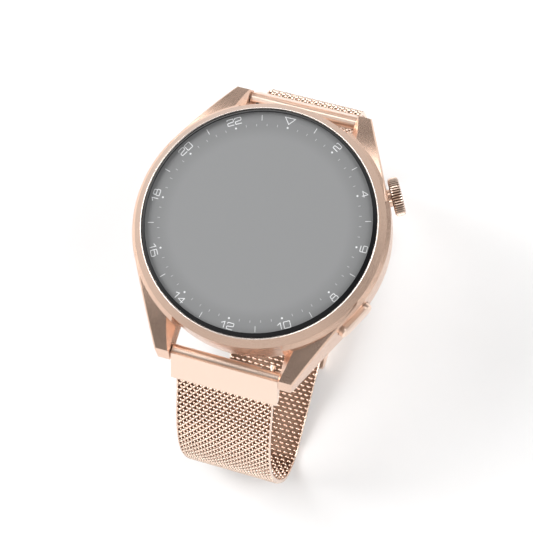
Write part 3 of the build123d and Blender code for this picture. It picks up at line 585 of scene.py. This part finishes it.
def build_dial():
    outer = GLASS_FLAT_RADIUS + PICTURE_MARGIN
    vertices, faces = turned([(PICTURE_HOLE, PICTURE_HEIGHT - LAYER), (outer, PICTURE_HEIGHT - LAYER),
                              (outer, PICTURE_HEIGHT), (PICTURE_HOLE, PICTURE_HEIGHT)])
    new_piece("dial_picture", vertices, faces, dial_material(), "case", smooth=False)
    inside = GLASS_FLAT_RADIUS - BORDER_SINK
    top = GLASS_FLAT_HEIGHT + BORDER_LIFT / 2
    vertices, faces = turned([
        (inside, GLASS_FLAT_HEIGHT - BORDER_SINK), (GLASS_BEVEL_RADIUS - BORDER_SINK, GLASS_BEVEL_HEIGHT),
        (GLASS_BEVEL_RADIUS + BORDER_LIFT, GLASS_BEVEL_HEIGHT), (GLASS_FLAT_RADIUS + BORDER_LIFT, top),
        (inside, top)])
    new_piece("glass_border", vertices, faces, border_material, "case", smooth=False)
    ink, faint = hour_scale()
    new_piece("hour_scale", ink.vertices, ink.faces, print_material, "case", smooth=False)
    new_piece("minute_scale", faint.vertices, faint.faces, faint_material, "case", smooth=False)


def dial_material():
    """Grey screen picture: a darker ring under the scale, fading into the middle."""
    material = grained("dial_picture", (0.3, 0.3, 0.3), 0.5, fine(0.6 * MM), 1e-6, 0.0, 0.015)
    tree = material.node_tree
    shader = tree.nodes["Principled BSDF"]
    place = add(tree, "ShaderNodeTexCoord").outputs["Object"]
    radius = vector_step(tree, "LENGTH", vector_step(tree, "MULTIPLY", place, (1.0, 1.0, 0.0)))
    ring = add(tree, "ShaderNodeMapRange", {"interpolation_type": "SMOOTHSTEP"},
               From_Min=RING_START, From_Max=RING_END)
    tree.links.new(radius, ring.inputs["Value"])
    tree.links.new(tint(tree, ring.outputs[0], DIAL_MIDDLE, DIAL_RING), shader.inputs["Base Color"])
    return material


# ---------------------------------------------------------------- woven band
def smooth_line(points):
    """Close, even points on the natural cubic curve through the given ones."""
    knots = np.array(points, float)
    spans = np.linalg.norm(np.diff(knots, axis=0), axis=1)
    count = len(knots)
    system = np.eye(count)
    load = np.zeros((count, 2))
    slopes = np.diff(knots, axis=0) / spans[:, None]
    for i in range(1, count - 1):
        system[i, i - 1:i + 2] = spans[i - 1], 2 * (spans[i - 1] + spans[i]), spans[i]
        load[i] = 6 * (slopes[i] - slopes[i - 1])
    bend = np.linalg.solve(system, load)
    made = []
    for i, span in enumerate(spans):
        t = np.arange(0, span, LINE_STEP)[:, None]
        back = span - t
        made.append(bend[i] * back ** 3 / (6 * span) + bend[i + 1] * t ** 3 / (6 * span)
                    + (knots[i] / span - bend[i] * span / 6) * back
                    + (knots[i + 1] / span - bend[i + 1] * span / 6) * t)
    return np.vstack(made + [knots[-1:]])


def lower_route():
    """Mid-line of the lower half as (y, z): down the side, along the base, round the bar and back."""
    line = smooth_line(LOWER_LINE) * (-1, 1)
    angles = np.linspace(math.pi / 2, -math.pi / 2, FOLD_POINTS)[:, None]
    turn = np.array(FOLD_CENTRE) + FOLD_RADIUS * np.hstack([np.cos(angles), np.sin(angles)])
    tail = np.array([[TAIL_END, FOLD_CENTRE[1] - FOLD_RADIUS]])
    return np.vstack([line, turn, tail])


class Route:
    """Mid-line in the YZ plane, in metres, that can be read at any distance along it."""

    def __init__(self, points, outward):
        self.points = points * MM
        self.outward = outward
        lengths = np.linalg.norm(np.diff(self.points, axis=0), axis=1)
        self.along = np.concatenate([[0], np.cumsum(lengths)])
        self.length = self.along[-1]

    def at(self, distance):
        """Places, directions and outward normals, as (y, z) rows."""
        small = 0.15 * MM
        place = self._read(distance)
        ahead = self._read(distance + small) - self._read(distance - small)
        direction = ahead / np.linalg.norm(ahead, axis=1)[:, None]
        normal = self.outward * np.stack([direction[:, 1], -direction[:, 0]], axis=1)
        return place, direction, normal

    def _read(self, distance):
        columns = [np.interp(distance, self.along, self.points[:, i]) for i in (0, 1)]
        start = np.minimum(distance, 0)[:, None] * self._end_direction(0)
        end = np.maximum(distance - self.length, 0)[:, None] * self._end_direction(-2)
        return np.stack(columns, axis=1) + start + end

    def _end_direction(self, index):
        step = self.points[index + 1] - self.points[index]
        return step / np.linalg.norm(step)


def ring_faces(count, sides):
    """Faces between successive rings of vertices."""
    ring, side = np.meshgrid(np.arange(count - 1), np.arange(sides), indexing="ij")
    after = (side + 1) % sides
    return np.stack([ring * sides + side, ring * sides + after,
                     (ring + 1) * sides + after, (ring + 1) * sides + side], axis=-1).reshape(-1, 4)


def tube(centres, radial, radius, sides):
    """Closed tube round a line of points; radial gives one side direction at each point."""
    ahead = np.gradient(centres, axis=0)
    ahead /= np.linalg.norm(ahead, axis=1)[:, None]
    first = radial - (radial * ahead).sum(1)[:, None] * ahead
    first /= np.linalg.norm(first, axis=1)[:, None]
    second = np.cross(ahead, first)
    angles = np.arange(sides) * 2 * math.pi / sides
    rings = (centres[:, None] + radius * (np.cos(angles)[None, :, None] * first[:, None]
                                          + np.sin(angles)[None, :, None] * second[:, None]))
    return rings.reshape(-1, 3), ring_faces(len(centres), sides)


def wire_row(route, distance, shifted, mirror):
    """One row's wire across the band: a spiral so short along the band that it is almost a wave."""
    half = BAND_WIDTH / 2 - EDGE_WIDTH * WIRE_END
    steps = TURNS * TURN_STEPS
    angle = np.linspace(0, TURNS * 2 * math.pi, steps + 1)
    x = mirror * np.linspace(-half, half, steps + 1)
    phase = angle + (math.pi if shifted else 0)
    along = REACH * np.cos(phase)
    out = DEPTH * np.sin(phase)
    place, direction, normal = route.at(distance + along)
    yz = place + normal * out[:, None]
    centres = np.column_stack([x, yz])
    sideways = direction * along[:, None] + normal * out[:, None]
    radial = np.column_stack([np.zeros_like(x), sideways])
    return tube(centres, radial, WIRE_RADIUS, WIRE_SIDES)


def band_edge(route, start, end, side):
    """Soldered edge: a rounded strip along the band, with a slight swell at every row."""
    count = int(round((end - start) / ROW_PITCH)) * EDGE_STEPS
    distance = np.linspace(start, end, count + 1)
    place, _, normal = route.at(distance)
    swell = 1 + EDGE_SWELL * np.cos(2 * math.pi * distance / ROW_PITCH)
    angles = np.arange(EDGE_SIDES) * 2 * math.pi / EDGE_SIDES
    round_section = np.stack([np.cos(angles), np.sin(angles)], axis=1)
    squared = np.sign(round_section) * np.abs(round_section) ** EDGE_SQUARENESS
    section = squared * (EDGE_WIDTH / 2, EDGE_DEPTH)
    x = side * (BAND_WIDTH / 2 - EDGE_WIDTH / 2) + section[:, 0]
    rings = np.zeros((len(distance), EDGE_SIDES, 3))
    rings[:, :, 0] = x[None]
    rings[:, :, 1:] = place[:, None] + normal[:, None] * (section[:, 1][None] * swell[:, None])[..., None]
    return rings.reshape(-1, 3), ring_faces(len(distance), EDGE_SIDES)


def core(route, start, end):
    """Dark sheet inside the weave: painted shade that shows in the gaps between its wires."""
    half = BAND_WIDTH / 2 - EDGE_WIDTH / 2
    count = int(round((end - start) / ROW_PITCH)) * EDGE_STEPS
    place, _, normal = route.at(np.linspace(start, end, count + 1))
    rings = np.zeros((count + 1, SHADE_SHEET_SIDES, 3))
    for corner, (side, level) in enumerate(((-1, -1), (1, -1), (1, 1), (-1, 1))):
        rings[:, corner, 0] = side * half
        rings[:, corner, 1:] = place + normal * level * SHADE_SHEET_DEPTH
    return rings.reshape(-1, 3), ring_faces(count + 1, SHADE_SHEET_SIDES)


def joined(parts, name):
    """One capped piece from many parts, of which the last is the dark sheet of painted shade, in its own
    darker material.
    """
    vertices = []
    faces = []
    base = 0
    for part_vertices, part_faces, sides in parts:
        count = len(part_vertices)
        vertices.append(part_vertices)
        faces.extend((part_faces + base).tolist())
        faces.append([base + i for i in reversed(range(sides))])
        faces.append([base + count - sides + i for i in range(sides)])
        base += count
    piece = new_piece(name, np.vstack(vertices), faces, materials["mesh"])
    piece.data.materials.append(shade_sheet_material)
    shade_sheet_faces = len(parts[-1][1]) + 2
    for face in piece.data.polygons[len(faces) - shade_sheet_faces:]:
        face.material_index = 1
    return piece


def woven(name, route, first_row, last_row, mirror):
    """Rows of the weave from one row to another, with both edges and the dark sheet of painted shade along
    them.
    """
    parts = []
    for row in range(first_row, last_row):
        vertices, faces = wire_row(route, row * ROW_PITCH, row % 2 == 1, mirror)
        parts.append((vertices, faces, WIRE_SIDES))
    start = (first_row - 0.5) * ROW_PITCH
    end = (last_row - 0.5) * ROW_PITCH
    for side in (-1, 1):
        vertices, faces = band_edge(route, start, end, side)
        parts.append((vertices, faces, EDGE_SIDES))
    vertices, faces = core(route, start, end)
    parts.append((vertices, faces, SHADE_SHEET_SIDES))
    return joined(parts, name)


def row_near(route, place):
    """Number of the row nearest to a (y, z) place in millimetres."""
    distances = np.linalg.norm(route.points - np.array(place) * MM, axis=1)
    return int(round(route.along[distances.argmin()] / ROW_PITCH))


def build_band():
    lower = Route(lower_route(), 1)
    upper = Route(smooth_line(UPPER_LINE), -1)
    margin = int(FLEX_REACH * MM / ROW_PITCH) + SPARE_ROWS

    flex = row_near(lower, LOWER_FLEX)
    fold = row_near(lower, (FOLD_CENTRE[0], FOLD_CENTRE[1] + FOLD_RADIUS))
    layer = row_near(lower, (FOLD_CENTRE[0], FOLD_CENTRE[1] - FOLD_RADIUS)) + 1
    end = int(lower.length / ROW_PITCH)
    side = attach(woven("lower_mesh_side", lower, 1, flex - margin, 1), "lower_strap")
    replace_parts(side, "lower_side_band")
    bend = woven("lower_mesh_bend", lower, flex - margin, flex + margin, 1)
    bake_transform(bend)
    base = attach(woven("lower_mesh_base", lower, flex + margin, fold, 1), "lower_base")
    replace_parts(base, "lower_base_band")
    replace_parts(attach(woven("mesh_fold", lower, fold, layer, 1), "lower_base"), "band_fold")
    tail = woven("mesh_tail", lower, layer, end, 1)
    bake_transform(tail)
    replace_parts(tail, "band_tail")

    flex = row_near(upper, UPPER_FLEX)
    end = int(upper.length / ROW_PITCH)
    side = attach(woven("upper_mesh_side", upper, 1, flex - margin, -1), "upper_strap")
    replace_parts(side, "upper_side_band")
    bend = woven("upper_mesh_bend", upper, flex - margin, flex + margin, -1)
    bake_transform(bend)
    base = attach(woven("upper_mesh_base", upper, flex + margin, end, -1), "upper_base")
    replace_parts(base, "upper_base_band")


def bar_spring(end):
    """Coil inside a spring bar, made at the length of the spring's box; the real coil shortens from its
    fixed end as the pin is drawn in.
    """
    low, high = node_box(f"{end}_bar_spring")
    middle = (low + high) / 2
    coil_radius = (high[2] - low[2]) / 2 - SPRING_WIRE
    angle = np.linspace(0, SPRING_TURNS * 2 * math.pi, SPRING_TURNS * TURN_STEPS + 1)
    x = np.linspace(low[0] + 2 * SPRING_WIRE, high[0] - 2 * SPRING_WIRE, len(angle))
    radial = np.column_stack([np.zeros_like(x), np.cos(angle), np.sin(angle)])
    axis = np.column_stack([x, np.full_like(x, middle[1]), np.full_like(x, middle[2])])
    vertices, faces = tube(axis + radial * coil_radius, radial, SPRING_WIRE, WIRE_SIDES)
    coil = new_piece(f"{end}_bar_coil", vertices, faces, materials["spring_steel"],
                     f"{end}_strap")
    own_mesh(coil)
    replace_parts(coil, f"{end}_bar_spring")


# ---------------------------------------------------------------- studio
def aim(thing, target, up=Vector((0, 1, 0)), roll=0.0):
    """Turns an object's -Z towards a target, with up as its upper side and a roll about its axis."""
    away = (thing.location - target).normalized()
    level = up.cross(away).normalized()
    rise = away.cross(level)
    right = level * math.cos(roll) + rise * math.sin(roll)
    top = rise * math.cos(roll) - level * math.sin(roll)
    thing.rotation_mode = "QUATERNION"
    thing.rotation_quaternion = Matrix((right, top, away)).transposed().to_quaternion()


def softbox(name, place, size, power):
    light = bpy.data.lights.new(name, "AREA")
    light.shape = "RECTANGLE"
    light.size, light.size_y = size
    light.energy = power
    lamp = bpy.data.objects.new(name, light)
    lamp.location = place
    bpy.context.scene.collection.objects.link(lamp)
    aim(lamp, LIGHT_AIM, LIGHT_UP)


def build_studio():
    scene = bpy.context.scene
    scene.view_settings.view_transform = "Standard"

    camera = bpy.data.objects.new("camera", bpy.data.cameras.new("camera"))
    camera.data.lens = CAMERA_LENS
    camera.data.clip_start = 0.01
    camera.data.clip_end = 20.0
    camera.location = CAMERA_PLACE
    scene.collection.objects.link(camera)
    aim(camera, CAMERA_AIM, roll=CAMERA_ROLL)
    scene.camera = camera

    world = bpy.data.worlds.new("studio")
    world.use_nodes = True
    scene.world = world
    tree = world.node_tree
    place = add(tree, "ShaderNodeTexCoord").outputs["Generated"]
    parts = add(tree, "ShaderNodeSeparateXYZ")
    tree.links.new(place, parts.inputs[0])
    ramp = add(tree, "ShaderNodeValToRGB")
    ramp.color_ramp.elements[0].position = 0.0
    while len(ramp.color_ramp.elements) < len(SKY_LEVELS):
        ramp.color_ramp.elements.new(1.0)
    for element, (position, level) in zip(ramp.color_ramp.elements, SKY_LEVELS):
        element.position = position
        element.color = (level, level, level, 1.0)
    tree.links.new(parts.outputs["Z"], ramp.inputs[0])
    tree.links.new(ramp.outputs[0], tree.nodes["Background"].inputs["Color"])
    turned_away = vector_step(tree, "DOT_PRODUCT", place, DIM_SIDE)
    side = add(tree, "ShaderNodeMapRange", None,
               From_Min=DIM_START, From_Max=DIM_END, To_Min=1.0, To_Max=DIM_LEVEL)
    tree.links.new(turned_away, side.inputs["Value"])
    tree.links.new(side.outputs[0], tree.nodes["Background"].inputs["Strength"])

    for name, place, size, power in SOFTBOXES:
        softbox(name, place, size, power)

    corners = [(x * FLOOR_REACH, y * FLOOR_REACH, 0) for x, y in ((-1, -1), (1, -1), (1, 1), (-1, 1))]
    pale = grained("pale_floor", (0.9, 0.9, 0.9), 0.8, fine(4 * MM), 2e-5, 0.0, 0.01)
    floor = new_piece("floor", corners, [(0, 1, 2, 3)], pale, smooth=False)


paint_cad_nodes()
build_dial()
build_band()
bar_spring("upper")
bar_spring("lower")
build_studio()
